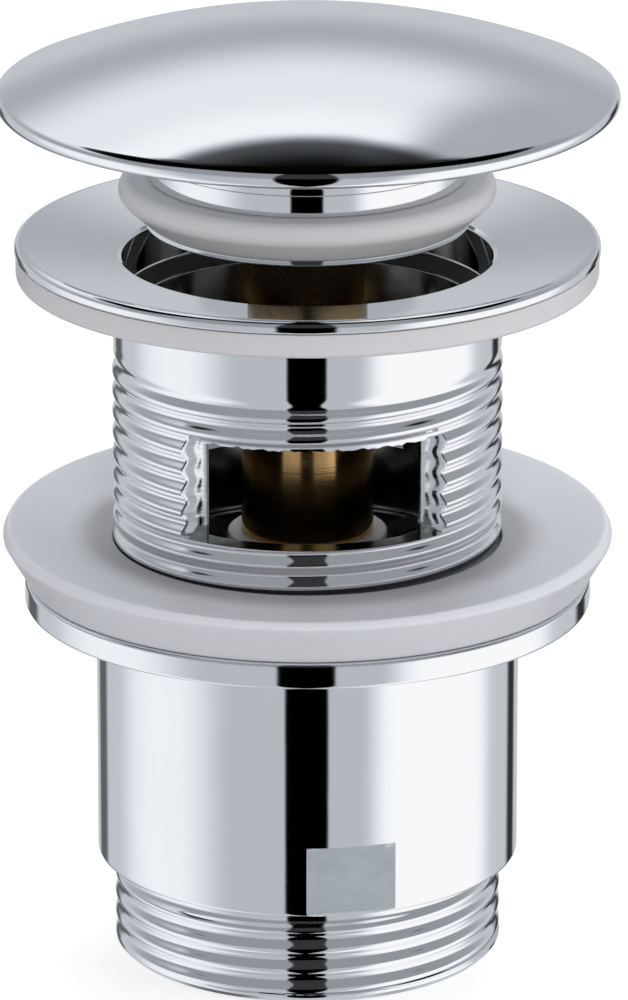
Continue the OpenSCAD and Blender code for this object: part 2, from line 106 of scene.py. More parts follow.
# %% The wire class
class Wire:
    """A socket of a node tree. Arithmetic on it adds Math nodes to the tree."""

    def __init__(self, tree, socket=None):
        self.tree = tree
        self.socket = socket

    def node(self, kind, options=None, sockets=None, out=0):
        made = self.tree.nodes.new(kind)
        for key, value in (options or {}).items():
            setattr(made, key, value)
        for key, value in (sockets or {}).items():
            if isinstance(value, Wire):
                self.tree.links.new(value.socket, made.inputs[key])
            else:
                made.inputs[key].default_value = value
        return Wire(self.tree, made.outputs[out]) if made.outputs else made

    def math(self, operation, *terms):
        return self.node("ShaderNodeMath", {"operation": operation}, dict(enumerate(terms)))

    def __add__(self, other):
        return self.math("ADD", self, other)

    def __sub__(self, other):
        return self.math("SUBTRACT", self, other)

    def __rsub__(self, other):
        return self.math("SUBTRACT", other, self)

    def __mul__(self, other):
        return self.math("MULTIPLY", self, other)

    __radd__ = __add__
    __rmul__ = __mul__

    def between(self, low, high):
        """0 below low, 1 above high, and an S-shaped ramp from one to the other."""
        return self.node("ShaderNodeMapRange", {"interpolation_type": "SMOOTHSTEP"},
                         {"Value": self, "From Min": low, "From Max": high})

    def window(self, low, high, soft):
        """1 between low and high, falling to 0 over a soft edge of the given width."""
        rise = self.between(low - soft / 2, low + soft / 2)
        fall = self.between(high - soft / 2, high + soft / 2)
        return rise * (1 - fall)

    def tint(self, dark, light):
        """Mixes two colours by this value."""
        ends = {"Factor": self, 6: dark, 7: light}
        colours = {key: (*end, 1.0) if isinstance(end, tuple) else end for key, end in ends.items()}
        return self.node("ShaderNodeMix", {"data_type": "RGBA"}, colours, out=2)


def finish_named(name):
    """A new material and the wire to its cleared tree."""
    made = bpy.data.materials.new(name)
    made.use_nodes = True
    made.node_tree.nodes.clear()
    return made, Wire(made.node_tree)


def surface(wire, **sockets):
    """A Principled surface, wired to the output."""
    names = {key.replace("_", " "): value for key, value in sockets.items()}
    shader = wire.node("ShaderNodeBsdfPrincipled", None, names)
    wire.node("ShaderNodeOutputMaterial", None, {"Surface": shader})


def grain(wire, size_mm, stretch=(1, 1, 1), detail=3.0):
    """Noise between 0 and 1 whose lumps are about size_mm across, stretched along the object's axes."""
    place = wire.node("ShaderNodeTexCoord", out=3)
    shrink = tuple(1 / s for s in stretch)
    scaled = wire.node("ShaderNodeMapping", None, {"Vector": place, "Scale": shrink})
    sockets = {"Vector": scaled, "Scale": 1000.0 / size_mm, "Detail": detail}
    return wire.node("ShaderNodeTexNoise", None, sockets)


def bumped(wire, height, depth_mm):
    """A normal pushed about by a height map of the given depth."""
    return wire.node("ShaderNodeBump", None, {"Height": height, "Distance": depth_mm * MM})


print("wire class ready")

# %% [markdown]
# ## Chrome
# Chrome plate is a mirror laid over polished brass. It has hardly any colour of its own: what tells it from
# a perfect mirror is the slow waviness that the polishing wheel leaves, and a breath of haze. The waviness
# is a bump some ten micrometres deep on lumps of several millimetres. The milled spanner flats are plated
# over tool marks, so they get level scratches, and the ends of the windows show the feed lines of the
# cutter. Inside the tube, on the windows' sills, on the spider and in the tail's outlet the chrome is given a
# dark colour, a painted shade for the dark inside. The step under the mouth is painted near black, also as
# painted shade.

# %% Chrome finishes
chrome, wire = finish_named("chrome_plate")
haze = grain(wire, 9.0)
specks = grain(wire, 0.6, detail=1.0).between(0.77, 0.8)
swell = grain(wire, 8.0, detail=1.0)
surface(wire, Metallic=1.0,
        Base_Color=(0.35 * haze + 0.45).tint((0.86, 0.875, 0.9), (0.965, 0.97, 0.98)),
        Roughness=0.03 + 0.03 * haze + 0.05 * specks,
        Normal=bumped(wire, swell, 0.012))

milled, wire = finish_named("chrome_over_mill_marks")
marks = grain(wire, 0.5, stretch=(16, 16, 1), detail=4.0)
patches = grain(wire, 3.0, stretch=(1, 1, 0.7))
surface(wire, Metallic=1.0,
        Base_Color=patches.tint((0.62, 0.66, 0.70), (0.84, 0.87, 0.90)),
        Roughness=0.14 + 0.2 * marks,
        Normal=bumped(wire, 0.45 * marks + patches, 0.07))

# Painted shade: a dark chrome for the inside of the tube, the windows' sills, the spider and the tail's
# outlet, where shade falls.
inside, wire = finish_named("chrome_painted_inner_shade")
skin = grain(wire, 1.6, detail=4.0)
surface(wire, Metallic=1.0,
        Base_Color=skin.tint((0.18, 0.18, 0.175), (0.44, 0.44, 0.425)),
        Roughness=0.07 + 0.12 * skin,
        Normal=bumped(wire, skin, 0.01))

sawn, wire = finish_named("chrome_over_saw_marks")
feed = grain(wire, 0.4, stretch=(6, 6, 1), detail=4.0)
surface(wire, Metallic=1.0,
        Base_Color=feed.tint((0.66, 0.68, 0.70), (0.97, 0.975, 0.98)),
        Roughness=0.06 + 0.14 * feed,
        Normal=bumped(wire, feed, 0.03))

# Painted shade: the step under the mouth is painted near black because it lies in the shade inside the mouth.
step_painted_shade, wire = finish_named("near_black_step_painted_shade")
step_grain = grain(wire, 0.5, detail=4.0)
surface(wire,
        Metallic=0.5 + 0.3 * step_grain,
        Base_Color=step_grain.tint((0.035, 0.033, 0.03), (0.09, 0.085, 0.075)),
        Roughness=0.4 + 0.3 * step_grain,
        Normal=bumped(wire, step_grain, 0.05))
print("finishes:", chrome.name, milled.name, inside.name, sawn.name, step_painted_shade.name)

# %% [markdown]
# ## Milky silicone
# The two gaskets and the plug's seal are moulded in unpigmented silicone. Light goes a millimetre or two
# into it and comes back. The colour runs with the distance from the axis: on the basin gasket the hub next
# to the tube is painted grey, a painted shade for where the tube and the flange keep the light off. The skin
# is satin, with the fine orange peel of a moulding tool.

# %% Silicone finish


def silicone_named(name, hub_r, rim_r, hub_colour, rim_colour):
    """Silicone whose colour runs from the hub's at one radius to the rim's at another."""
    made, wire = finish_named(name)
    place = wire.node("ShaderNodeTexCoord", out=3)
    flat = wire.node("ShaderNodeVectorMath", {"operation": "MULTIPLY"}, {0: place, 1: (1.0, 1.0, 0.0)})
    radius = wire.node("ShaderNodeVectorMath", {"operation": "LENGTH"}, {0: flat}, out=1)
    cloud = grain(wire, 12.0)
    hub_to_rim = (radius + (cloud - 0.5) * 2 * MM).between(hub_r * MM, rim_r * MM)
    peel = grain(wire, 0.35, detail=2.0)
    surface(wire,
            Base_Color=hub_to_rim.tint(hub_colour, rim_colour),
            Roughness=0.26 + 0.16 * cloud,
            Normal=bumped(wire, peel, 0.008),
            Subsurface_Weight=0.5, Subsurface_Radius=(1.0, 1.0, 1.05), Subsurface_Scale=1.4 * MM, IOR=1.41)
    return made


clear_ring = silicone_named("milky_silicone", 14.0, 30.0, (0.76, 0.76, 0.765), (0.69, 0.685, 0.705))
# Painted shade: on the basin gasket the hub next to the tube is dark grey, turning to the light rim colour
# outwards, for the shade under the flange and beside the tube.
hub_shade_ring = silicone_named("milky_silicone_painted_hub_shade", 22.5, 26.5, (0.40, 0.405, 0.42), (0.74, 0.755, 0.795))
print("finishes:", clear_ring.name, hub_shade_ring.name)

# %% [markdown]
# ## Brass, plastic, steel and black rubber
# The cartridge is bare brass, turned on a lathe: the tool leaves level rings that are far longer than they
# are high, so its noise is squashed along Z. Handling has dulled it in patches, and the plunger, which
# water runs over, has gone brown. The seat washer, the hidden ring and its spacer are white acetal, the
# spring, pins and clips are drawn steel, and the two small seals are black rubber.

# %% Cartridge finishes
brass, wire = finish_named("turned_brass")
rings = grain(wire, 0.16, stretch=(120, 120, 1), detail=2.0)
dull = grain(wire, 5.0, detail=2.0).between(0.35, 0.75)
surface(wire, Metallic=1.0,
        Base_Color=dull.tint((0.68, 0.42, 0.18), (0.42, 0.25, 0.10)),
        Roughness=0.1 + 0.08 * rings + 0.08 * dull,
        Normal=bumped(wire, rings, 0.008))

aged_brass, wire = finish_named("aged_brass")
turning = grain(wire, 0.16, stretch=(120, 120, 1), detail=2.0)
stain = grain(wire, 4.0, detail=3.0).between(0.3, 0.7)
surface(wire, Metallic=1.0,
        Base_Color=stain.tint((0.40, 0.29, 0.16), (0.24, 0.18, 0.11)),
        Roughness=0.14 + 0.1 * turning + 0.1 * stain,
        Normal=bumped(wire, turning, 0.008))

acetal, wire = finish_named("white_acetal")
flow = grain(wire, 4.0)
surface(wire,
        Base_Color=flow.tint((0.88, 0.86, 0.82), (0.95, 0.94, 0.91)),
        Roughness=0.34 + 0.18 * flow,
        Normal=bumped(wire, grain(wire, 0.4), 0.01),
        Subsurface_Weight=0.25, Subsurface_Radius=(1.0, 0.95, 0.9), Subsurface_Scale=0.6 * MM)

steel, wire = finish_named("drawn_steel")
draw = grain(wire, 0.3, stretch=(3, 3, 1))
surface(wire, Metallic=1.0,
        Base_Color=draw.tint((0.42, 0.43, 0.45), (0.62, 0.63, 0.65)),
        Roughness=0.24 + 0.2 * draw,
        Normal=bumped(wire, draw, 0.01))

rubber, wire = finish_named("black_rubber")
bloom = grain(wire, 2.5, detail=5.0)
surface(wire,
        Base_Color=bloom.tint((0.012, 0.012, 0.013), (0.045, 0.045, 0.047)),
        Roughness=0.55 + 0.25 * bloom,
        Normal=bumped(wire, grain(wire, 0.25), 0.02))
print("finishes:", brass.name, aged_brass.name, acetal.name, steel.name, rubber.name)

# %% [markdown]
# ## Turned shapes from sections
# Nearly everything here came off a lathe, so a piece is a section in radius and height carried round the
# axis. A lathe never leaves a razor edge: each corner of a section is given with the radius of its bend and
# becomes a short arc. Two guard points just outside every arc keep the long straight walls straight in a
# mirror.


# %% Sections and surfaces of revolution
def rounded(corners, closed=True, steps=6):
    """Section whose corners (radius, height, bend) become arcs: the arc's centre lies on the corner's
    bisector, bend / sin(half angle) away, and it starts and ends bend / tan(half angle) along the two sides.
    An open section keeps its first and last point as they are."""
    given = np.asarray(corners, float)
    p, bend = given[:, :2], given[:, 2:3]
    back, ahead = np.roll(p, 1, 0) - p, np.roll(p, -1, 0) - p
    back /= np.linalg.norm(back, axis=1, keepdims=True)
    ahead /= np.linalg.norm(ahead, axis=1, keepdims=True)
    half = 0.5 * np.arccos(np.clip((back * ahead).sum(1, keepdims=True), -1, 1))
    middle = back + ahead
    centre = p + middle / np.linalg.norm(middle, axis=1, keepdims=True) * bend / np.sin(half)
    first, last = p + back * bend / np.tan(half), p + ahead * bend / np.tan(half)
    a, b = first - centre, last - centre
    begin = np.arctan2(a[:, 1], a[:, 0])[:, None]
    sweep = np.arctan2(a[:, 0] * b[:, 1] - a[:, 1] * b[:, 0], (a * b).sum(1))[:, None]
    turn = begin + sweep * np.linspace(0, 1, steps)
    arcs = centre[:, None] + bend[:, None] * np.stack([np.cos(turn), np.sin(turn)], 2)
    guard = 0.03
    arcs = np.concatenate([(first + back * guard)[:, None], arcs, (last + ahead * guard)[:, None]], 1)
    if closed:
        return arcs.reshape(-1, 2)
    return np.concatenate([p[:1], arcs[1:-1].reshape(-1, 2), p[-1:]])


def bow(centre, radius, start, end, steps):
    """Points of an arc in the section plane, angles in degrees from the outward direction."""
    a = np.radians(np.linspace(start, end, steps))
    return np.asarray(centre) + radius * np.stack([np.cos(a), np.sin(a)], 1)


def upright(radius, heights):
    """Points of a plain wall at one radius."""
    return np.stack([np.full_like(heights, radius), heights], 1)


def grid_faces(rows, columns, close_rows):
    """Quads of a grid of rows by columns whose columns go all the way round, and its rows too where asked."""
    i, j = np.meshgrid(np.arange(rows - (not close_rows)), np.arange(columns), indexing="ij")
    i2, j2 = (i + 1) % rows, (j + 1) % columns
    quads = np.stack([i * columns + j, i * columns + j2, i2 * columns + j2, i2 * columns + j], 2)
    return quads.reshape(-1, 4)


def patch_faces(rows, columns):
    """Quads of an open grid of rows by columns."""
    i, j = np.meshgrid(np.arange(rows - 1), np.arange(columns - 1), indexing="ij")
    corner = i * columns + j
    return np.stack([corner, corner + 1, corner + columns + 1, corner + columns], 2).reshape(-1, 4)


def turned(radius, height, angles):
    """Points at [row, column]: radius and height may change with the angle as well as along the section."""
    radius, height, angles = np.broadcast_arrays(radius, height, angles)
    return np.stack([radius * np.cos(angles), radius * np.sin(angles), height], 2).reshape(-1, 3)


def build(name, points, quads, body, node, finish, sharp=38.0):
    """Puts points (mm) and quads into a closed, smooth mesh that rides on a body and stands for its node."""
    mesh = bpy.data.meshes.new(name)
    mesh.vertices.add(len(points))
    mesh.vertices.foreach_set("co", (points * MM).ravel())
    mesh.loops.add(quads.size)
    mesh.loops.foreach_set("vertex_index", quads.ravel())
    mesh.polygons.add(len(quads))
    mesh.polygons.foreach_set("loop_start", np.arange(0, quads.size, 4))
    mesh.update(calc_edges=True)
    work = bmesh.new()
    work.from_mesh(mesh)
    bmesh.ops.remove_doubles(work, verts=work.verts, dist=2e-7)
    bmesh.ops.dissolve_degenerate(work, edges=work.edges, dist=1e-8)
    bmesh.ops.recalc_face_normals(work, faces=work.faces)
    open_edges = sum(not e.is_manifold for e in work.edges)
    work.to_mesh(mesh)
    work.free()
    mesh.polygons.foreach_set("use_smooth", np.ones(len(mesh.polygons), bool))
    mesh.set_sharp_from_angle(angle=math.radians(sharp))
    mesh.materials.append(finish)
    piece = bpy.data.objects.new(name, mesh)
    scene.collection.objects.link(piece)
    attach(piece, body)
    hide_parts(node)
    print(f"{name}: {len(mesh.polygons)} faces, open edges {open_edges}")
    return piece


def round_about(columns):
    """Angles of the columns, in radians."""
    return np.radians(np.arange(columns) * 360.0 / columns)[None]


def lathe(name, section, body, node, finish, columns=180, closed=True):
    """Carries a section once round the axis. An open section starts and ends on the axis."""
    points = turned(section[:, :1], section[:, 1:], round_about(columns))
    return build(name, points, grid_faces(len(section), columns, closed), body, node, finish)


def face_places(piece):
    """Radius, angle and height of the middle of each face, in millimetres and radians."""
    middle = np.empty(len(piece.data.polygons) * 3)
    piece.data.polygons.foreach_get("center", middle)
    x, y, z = middle.reshape(-1, 3).T / MM
    return np.hypot(x, y), np.arctan2(y, x), z


def refinish(piece, faces, finish):
    """Gives the marked faces another finish, and says how many they are."""
    which = np.empty(len(piece.data.polygons), np.int32)
    piece.data.polygons.foreach_get("material_index", which)
    piece.data.materials.append(finish)
    which[faces] = len(piece.data.materials) - 1
    piece.data.polygons.foreach_set("material_index", which)
    print(f"{piece.name}: {int(faces.sum())} faces in {finish.name}")


print("lathe ready")

# %% [markdown]
# ## The dome
# The plug's cap is a spun shell: a shallow arc on top, an edge rolled through almost half a turn, and a
# gently sloping underside that runs into a collar. The big arc is tangent to the rolled edge, so the
# reflections flow over the rim without a kink. Inside it is hollow.

# %% Dome
CAP_R, COLLAR_Z, CAP_TOP = reach("plug_dome")
EDGE_R = 1.1
SHELL = 1.4
SLOPE = math.radians(14)
COLLAR_R = 17.4
COLLAR_H = 0.65
FILLET = 1.0
SPIGOT_R = 15.4
fillet_mid = (COLLAR_R + FILLET, COLLAR_Z + COLLAR_H)
rim_r = CAP_R - EDGE_R
rim_z = fillet_mid[1] + (FILLET + EDGE_R) / math.cos(SLOPE) + (rim_r - fillet_mid[0]) * math.tan(SLOPE)
rise = CAP_TOP - rim_z
cap_arc = (rim_r**2 + rise**2 - EDGE_R**2) / (2 * (rise - EDGE_R))
arc_mid = (0.0, CAP_TOP - cap_arc)
meet = math.degrees(math.atan2(rim_z - arc_mid[1], rim_r))
hollow_r = rim_r - 3 * EDGE_R
hollow_arc = cap_arc - SHELL
hollow_end = math.degrees(math.acos(hollow_r / hollow_arc))
floor_z = COLLAR_Z + COLLAR_H + (FILLET + SHELL) / math.cos(SLOPE)
hollow_floor = floor_z + (hollow_r - fillet_mid[0]) * math.tan(SLOPE)
under_deg = math.degrees(SLOPE)
cap_section = np.concatenate([
    bow(arc_mid, cap_arc, 90, meet, 60)[:-1],
    bow((rim_r, rim_z), EDGE_R, meet, under_deg - 90, 22),
    bow(fillet_mid, FILLET, 90 + under_deg, 180, 12),
    rounded([(COLLAR_R, COLLAR_Z + 0.4, 0), (COLLAR_R, COLLAR_Z, 0.15), (SPIGOT_R + 0.02, COLLAR_Z, 0.15),
             (SPIGOT_R + 0.02, floor_z, 0.1), (COLLAR_R, floor_z, 0.2), (hollow_r, hollow_floor, 0)],
            closed=False)[1:],
    bow(arc_mid, hollow_arc, hollow_end, 90, 30),
])
cap_section[[0, -1], 0] = 0.0
lathe("dome_shell", cap_section, "plug", "plug_dome", chrome, columns=240, closed=False)
print("rim at", round(rim_z, 2), "mm, arc radius", round(cap_arc, 1), "mm")

# %% [markdown]
# ## Core and seal of the plug
# Under the dome a turned core shows as a bright neck, then the milky seal that bulges past it, then a thin
# lip. The seal is a bullet-shaped ring: it sits deep in the core's groove, and its lower flank is the cone
# that lands on the mouth of the flange. The flank is the tangent from the seal's foot to its round
# shoulder.

# %% Core and seal
LIP_R, CORE_LOW, CORE_TOP = reach("plug_core")
SEAL_R, SEAL_LOW, SEAL_TOP = reach("plug_seal")
LIP_T = 0.7
CORE_NECK_R = 17.0
CORE_BOSS_R = 9.0
CORE_HOLLOW_R = 13.4
CORE_HOLLOW_H = 3.3
GROOVE_R = 15.0
STUD_R = 4.0
FIT = 0.05
lip_z = SEAL_LOW - LIP_T
hollow_z = lip_z + CORE_HOLLOW_H
core_section = rounded([
    (STUD_R + FIT, CORE_LOW, 0.2), (CORE_BOSS_R, CORE_LOW, 0.3), (CORE_BOSS_R, hollow_z, 0.4),
    (CORE_HOLLOW_R, hollow_z, 0.4), (CORE_HOLLOW_R, lip_z, 0.15), (LIP_R, lip_z, 0.2),
    (LIP_R, SEAL_LOW, 0.2), (GROOVE_R, SEAL_LOW, 0.1),
    (GROOVE_R, SEAL_TOP, 0.1), (CORE_NECK_R, SEAL_TOP, 0.2), (CORE_NECK_R, COLLAR_Z, 0.12),
    (SPIGOT_R, COLLAR_Z, 0.1), (SPIGOT_R, CORE_TOP, 0.3), (STUD_R + FIT, CORE_TOP, 0.2)])
lathe("plug_core_turned", core_section, "plug", "plug_core", chrome)
SEAL_FOOT_R = LIP_R + 0.15
SEAL_BEND = 1.4
bulge = np.array([SEAL_R - SEAL_BEND, SEAL_TOP - SEAL_BEND])
seal_foot = np.array([SEAL_FOOT_R, SEAL_LOW + 0.03])
far = np.linalg.norm(bulge - seal_foot)
flank = math.degrees(math.atan2(*(bulge - seal_foot)[::-1]) - math.asin(SEAL_BEND / far))
seal_section = np.concatenate([
    [(GROOVE_R + FIT, seal_foot[1]), seal_foot],
    bow(bulge, SEAL_BEND, flank - 90, 90, 20) - (0, FIT),
    [(GROOVE_R + FIT, SEAL_TOP - FIT)]])
lathe("plug_seal_moulded", seal_section, "plug", "plug_seal", clear_ring)
print("seal widest", round(seal_section[:, 0].max(), 2), "mm")

# %% [markdown]
# ## Pipe thread
# A pipe thread rises by one pitch per turn, so its height on the wall depends on the angle as well. Plating
# fills the sharp roots and polishing rounds the crests, so what is left is a soft wave. The wall is sampled
# some sixteen times a pitch, because a mirror shows every facet.

# %% Thread
PITCH = 2.309
MAJOR_R = 20.955
DEPTH = 0.52


def groove(height, angle, phase, pitch=PITCH, depth=DEPTH):
    """How far the wall is cut in: depth times the square of the sine of half the turn, where the turn is
    height over pitch, less the angle in turns."""
    half_turn = np.pi * (height - phase) / pitch - angle / 2
    return depth * np.sin(half_turn) ** 2


print("thread depth", DEPTH, "mm at a pitch of", PITCH, "mm")

# %% [markdown]
# ## Flange and tube
# This is one casting, turned outside and in: a dished flange, a plain neck, a long thread, and two windows
# that let the overflow in. A disc cutter sank the windows from the front and the back, so their ends slant
# through the wall: on the cutter's circle the angle from the window's middle grows with the radius, and
# where the thread changes the radius, the window's edge is scalloped. One closed section runs round the
# axis. Its columns fall on the windows' edges, and the windows' cells are left out of the inner and the
# outer wall.

# %% Section of the flange and tube
FLANGE_R, TUBE_END, FLANGE_TOP = reach("upper_body")
PAD_THIN = 0.6
SEAT_Z = reach("flange_gasket")[1] + PAD_THIN
BORE_R = 18.2
LEDGE_R = 17.0
LEDGE_Z = TUBE_END + 7.8
NECK_R = 20.8
NECK_L = 10.0
RIM_H = 1.5
MOUTH_R = 19.8
MOUTH_Z = SEAT_Z + 1.8
RECESS_Z = MOUTH_Z - 4.5
SLOT_HIGH = SEAT_Z - 13.9
SLOT_LOW = SLOT_HIGH - 11.1
ROW_STEP = 0.14
slot_rows = round((SLOT_HIGH - SLOT_LOW) / ROW_STEP)
RUN_OUT = 2.6
thread_low = TUBE_END + 1.5
thread_high = SEAT_Z - NECK_L + RUN_OUT + 0.2
low_rows = round((SLOT_LOW - thread_low) / ROW_STEP)
high_rows = round((thread_high - SLOT_HIGH) / ROW_STEP)
low_chain = rounded([
    (LEDGE_R, TUBE_END + 3, 0), (LEDGE_R, TUBE_END, 0.25), (MAJOR_R - 1.1, TUBE_END, 0.15),
    (MAJOR_R, TUBE_END + 1.1, 0.15), (MAJOR_R, thread_low, 0)], closed=False)
thread_z = np.concatenate([
    np.linspace(thread_low, SLOT_LOW, low_rows + 1)[1:], np.linspace(SLOT_LOW, SLOT_HIGH, slot_rows + 1)[1:],
    np.linspace(SLOT_HIGH, thread_high, high_rows + 1)[1:]])
top_chain = rounded([
    (NECK_R, thread_high, 0), (NECK_R, SEAT_Z, 0.5), (FLANGE_R - 0.2, FLANGE_TOP - RIM_H, 0.12),
    (FLANGE_R, FLANGE_TOP - RIM_H + 0.2, 0.12), (FLANGE_R, FLANGE_TOP, 0.75),
    (MOUTH_R + 0.45, MOUTH_Z + 0.08, 0.3), (MOUTH_R, MOUTH_Z - 0.2, 0.25), (MOUTH_R, RECESS_Z, 0.3),
    (BORE_R, RECESS_Z + BORE_R - MOUTH_R, 0.4), (BORE_R, SLOT_HIGH + 1, 0)], closed=False, steps=7)[1:]
slot_z = np.linspace(SLOT_HIGH, SLOT_LOW, slot_rows + 1)
foot_chain = rounded([(BORE_R, SLOT_LOW - 1, 0), (BORE_R, LEDGE_Z, 0.2), (LEDGE_R, LEDGE_Z, 0.25),
                      (LEDGE_R, TUBE_END + 3.5, 0)], closed=False)
section = np.concatenate([
    low_chain, upright(MAJOR_R, thread_z), top_chain, upright(BORE_R, slot_z), foot_chain])
thread_rows = np.zeros((len(section), 1))
thread_rows[len(low_chain):len(low_chain) + len(thread_z)] = 1.0
out_low = len(low_chain) + low_rows - 1
out_high = out_low + slot_rows
in_high = len(low_chain) + len(thread_z) + len(top_chain)
in_low = in_high + slot_rows
print("rows of the section:", len(section), "of which thread:", len(thread_z))

# %% [markdown]
# The angles come next. By the law of cosines the cutter's circle gives the window's half angle at any
# radius. Half a turn of columns is laid out about a window's middle and repeated for the other one. On the
# threaded rows the columns near a window's edge move with the scallops, which changes nothing in the shape
# of the thread.

# %% Columns and the threaded wall
SLOT_MIDDLE = math.radians(-90 + 2.5)
SLOT_HALF = math.radians(75 / 2)
CUTTER_R = 38.0
CUTTER_OUT = BORE_R * math.cos(SLOT_HALF) + math.sqrt(CUTTER_R**2 - (BORE_R * math.sin(SLOT_HALF)) ** 2)
SIDE_CELLS, END_CELLS, OPEN_CELLS = 24, 15, 48
FADE_L = 3.8
NECK_STEP_L = 0.7
EDGE_SPREAD = math.radians(8)
BURR = 0.16
THREAD_PHASE = 54.6


def slot_angle(radius, cutter_r=CUTTER_R):
    """Angle from a window's middle to where the cutter's circle crosses this radius."""
    return np.arccos((radius**2 + CUTTER_OUT**2 - cutter_r**2) / (2 * radius * CUTTER_OUT))


edge_out = slot_angle(MAJOR_R)
stops = np.array([-math.pi / 2, -edge_out, -SLOT_HALF, SLOT_HALF, edge_out, math.pi / 2])
cells = np.cumsum([0, SIDE_CELLS, END_CELLS, OPEN_CELLS, END_CELLS, SIDE_CELLS])
half_turn = np.interp(np.arange(cells[-1]), cells, stops)
COLUMNS = 2 * len(half_turn)
from_middle = np.tile(half_turn, 2)[None]
angles = SLOT_MIDDLE + np.concatenate([half_turn, half_turn + math.pi])[None]
height = np.repeat(section[:, 1:], COLUMNS, 1)
fade = np.clip((SEAT_Z - NECK_L + RUN_OUT - height) / FADE_L, 0, 1)
fade = thread_rows * fade * fade * (3 - 2 * fade)
near_edge = np.clip(1 - np.abs(np.abs(from_middle) - edge_out) / EDGE_SPREAD, 0, 1)
scallop = slot_angle(MAJOR_R - groove(height, angles, THREAD_PHASE) * fade) - edge_out
angles = angles + thread_rows * near_edge * scallop * np.sign(from_middle)
to_neck = (MAJOR_R - NECK_R) * np.clip((height - SEAT_Z + NECK_L) / NECK_STEP_L, 0, 1)
radius = section[:, :1] - thread_rows * to_neck - groove(height, angles, THREAD_PHASE) * fade
burr = BURR * (np.sin(43 * from_middle) * np.sin(91 * from_middle + 1) - 0.5)
height[[out_high, in_high]] += burr * (np.abs(from_middle) < SLOT_HALF)
print("columns:", COLUMNS, "window's half angle", round(math.degrees(edge_out), 1), "degrees outside")

# %% [markdown]
# Last come the windows' own walls. Each slanting end is a small grid on the cutter's circle, from the
# bore's edge to the scalloped one. The cutter chattered, so the end has shallow ripples that run from
# straight at the bore to scalloped outside. The flat sill and head are strips between the outer edge and
# the inner one, which runs along the foot or the top of the two ends. Points that meet are welded
# afterwards.

# %% Windows and the finished tube
CHATTER = 0.09
HALF_RIPPLES = 3


def window_walls(first):
    """Points of the four walls of the window whose half turn of columns begins at first. On the two ends the
    cutter's radius swells by a sine of the share of the way from the bore to the outside."""
    rise = np.arange(slot_rows + 1)
    share = np.linspace(0, 1, END_CELLS + 1)[None]
    cutter_r = CUTTER_R + CHATTER * np.sin(HALF_RIPPLES * math.pi * share)
    loops = []
    for side, edge in ((-1, first + cells[1]), (1, first + cells[4])):
        bore = first + (cells[2] if side < 0 else cells[3])
        outer_r, outer_turn = radius[out_low + rise, edge][:, None], angles[out_low + rise, edge][:, None]
        end_r = BORE_R + share * (outer_r - BORE_R)
        end_turn = angles[0, first] + math.pi / 2 + side * slot_angle(end_r, cutter_r)
        end_turn[:, -1:] = outer_turn
        end_turn[:, 0] = angles[0, bore]
        end_z = height[out_low + rise, edge][:, None] + 0 * share
        end = turned(end_r, end_z, end_turn).reshape(slot_rows + 1, END_CELLS + 1, 3)
        loops.append(end[:, ::-1] if side < 0 else end)
    grid = turned(radius, height, angles).reshape(len(section), COLUMNS, 3)
    outer = np.arange(first + cells[1], first + cells[4] + 1)
    opening = np.arange(first + cells[2] + 1, first + cells[3])
    for row_out, row_in, row_end in ((out_low, in_low, 0), (out_high, in_high, -1)):
        inner = np.concatenate([loops[0][row_end], grid[row_in, opening], loops[1][row_end]])
        loops.append(np.stack([grid[row_out, outer], inner]))
    return loops


points = [turned(radius, height, angles)]
kept = np.ones((len(section), COLUMNS), bool)
for first in (0, COLUMNS // 2):
    kept[out_low:out_high, first + cells[1]:first + cells[4]] = False
    kept[in_high:in_low, first + cells[2]:first + cells[3]] = False
quads = [grid_faces(len(section), COLUMNS, True)[kept.ravel()]]
for patch in window_walls(0) + window_walls(COLUMNS // 2):
    quads.append(patch_faces(*patch.shape[:2]) + sum(map(len, points)))
    points.append(patch.reshape(-1, 3))
tube = build("flange_and_tube", np.concatenate(points), np.concatenate(quads), "waste_body", "upper_body",
             chrome)
face_r, face_turn, face_z = face_places(tube)
slot_half_h = (SLOT_HIGH - SLOT_LOW) / 2
beside_slot = np.abs(face_z - SLOT_LOW - slot_half_h) < slot_half_h + 0.15
off_middle = np.abs((face_turn - SLOT_MIDDLE + math.pi / 2) % math.pi - math.pi / 2)
in_bore = (face_r < BORE_R + 0.1) & (face_z < MOUTH_Z)
on_sill = beside_slot & (face_r > BORE_R + 0.1) & (face_r < MAJOR_R - DEPTH) & (off_middle < edge_out)
on_end = beside_slot & (face_r > BORE_R + 0.1) & (np.abs(off_middle - slot_angle(face_r)) < 0.012)
on_step = (face_r > BORE_R + 0.1) & (face_r < MOUTH_R - 0.1) & (np.abs(face_z - RECESS_Z + 0.8) < 1.2)
# The bore and the window's sill take the dark painted shade of the inside.
refinish(tube, in_bore | on_sill, inside)
refinish(tube, on_end, sawn)
# The step under the mouth takes the near-black painted shade.
refinish(tube, on_step, step_painted_shade)

# %% [markdown]
# ## Spider
# Four arms inside the tube's foot carry a boss, and the cartridge is bolted to it. Each arm is a bar with a
# rounded section, carried from the boss out to the ring. The boss is turned.

# %% Spider
WASHER_R, BOSS_TOP, SLEEVE_FOOT = reach("seat_washer")
STUB_R = 5.0
BOSS_R = 8.9
BOSS_LOW = TUBE_END + 1
ARM_W = 4.0
ARM_BEND = 0.6
boss_section = rounded([(STUB_R + 0.03, BOSS_LOW, 0.3), (BOSS_R, BOSS_LOW, 0.4), (BOSS_R, BOSS_TOP, 0.4),
                        (STUB_R + 0.03, BOSS_TOP, 0.3)])
# The spider sits deep in the tube, so the boss and the arms take the dark painted shade of the inside.
lathe("spider_boss", boss_section, "waste_body", "upper_body", inside, columns=96)


